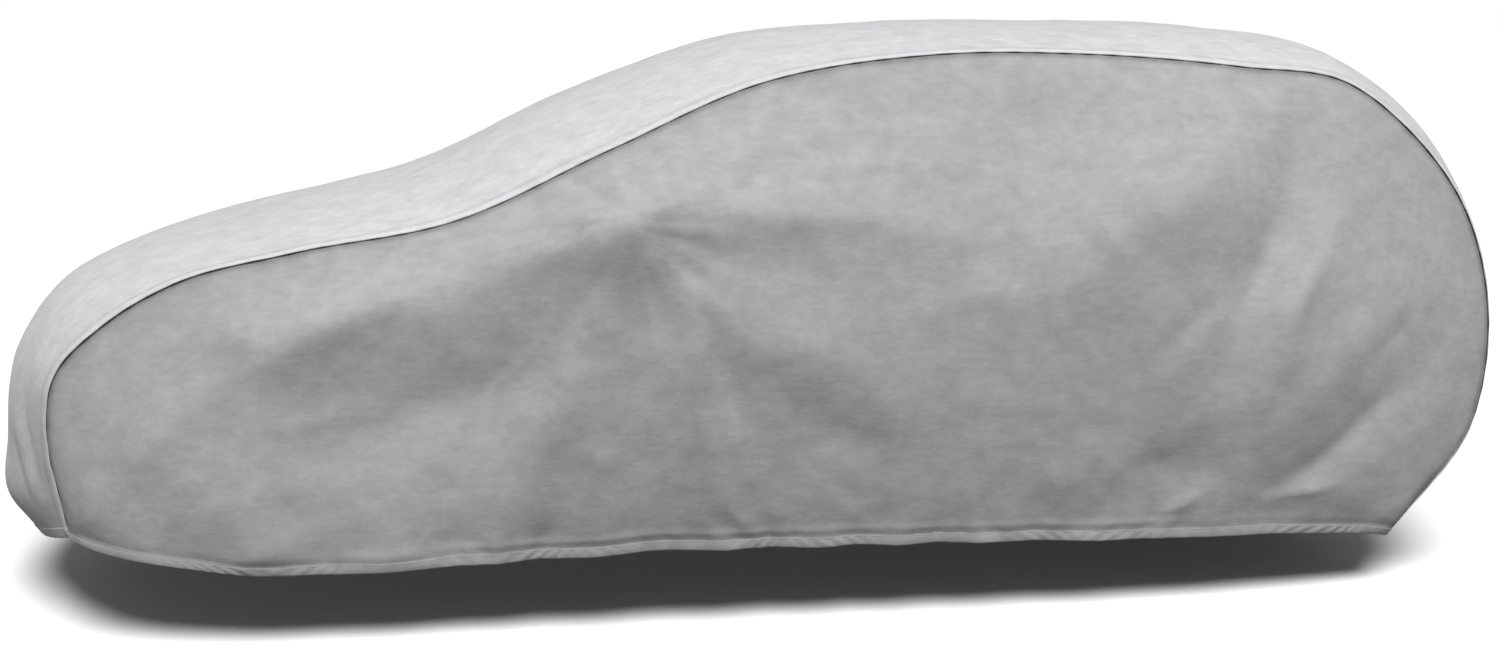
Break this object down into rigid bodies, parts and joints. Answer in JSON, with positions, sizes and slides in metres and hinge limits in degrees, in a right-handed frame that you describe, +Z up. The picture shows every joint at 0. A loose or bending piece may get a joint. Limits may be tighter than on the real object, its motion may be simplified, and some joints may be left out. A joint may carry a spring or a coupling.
{
  "type": "car cover",
  "caption": "Fitted full-length cover for a compact estate car: a light grey strip over the top, mid-grey sides and an elastic hem, hanging as over a car.",
  "frame": {"origin": "underside of the cloth at the top of the roof, on the middle plane, where the car's roof holds the cover", "axes": "+X along the length towards the rear, so the front points to -X; +Y to the car's right-hand side; +Z up"},
  "size_m": [4.558, 1.8953, 1.5214],
  "materials": {
    "light_cloth": "matt non-woven cloth, light grey",
    "grey_cloth": "matt non-woven cloth, mid-grey"
  },
  "bodies": {
    "root": {"centre_panel": "light_cloth", "side_panel_left": "grey_cloth", "side_panel_right": "grey_cloth"}
  },
  "joints": []
}
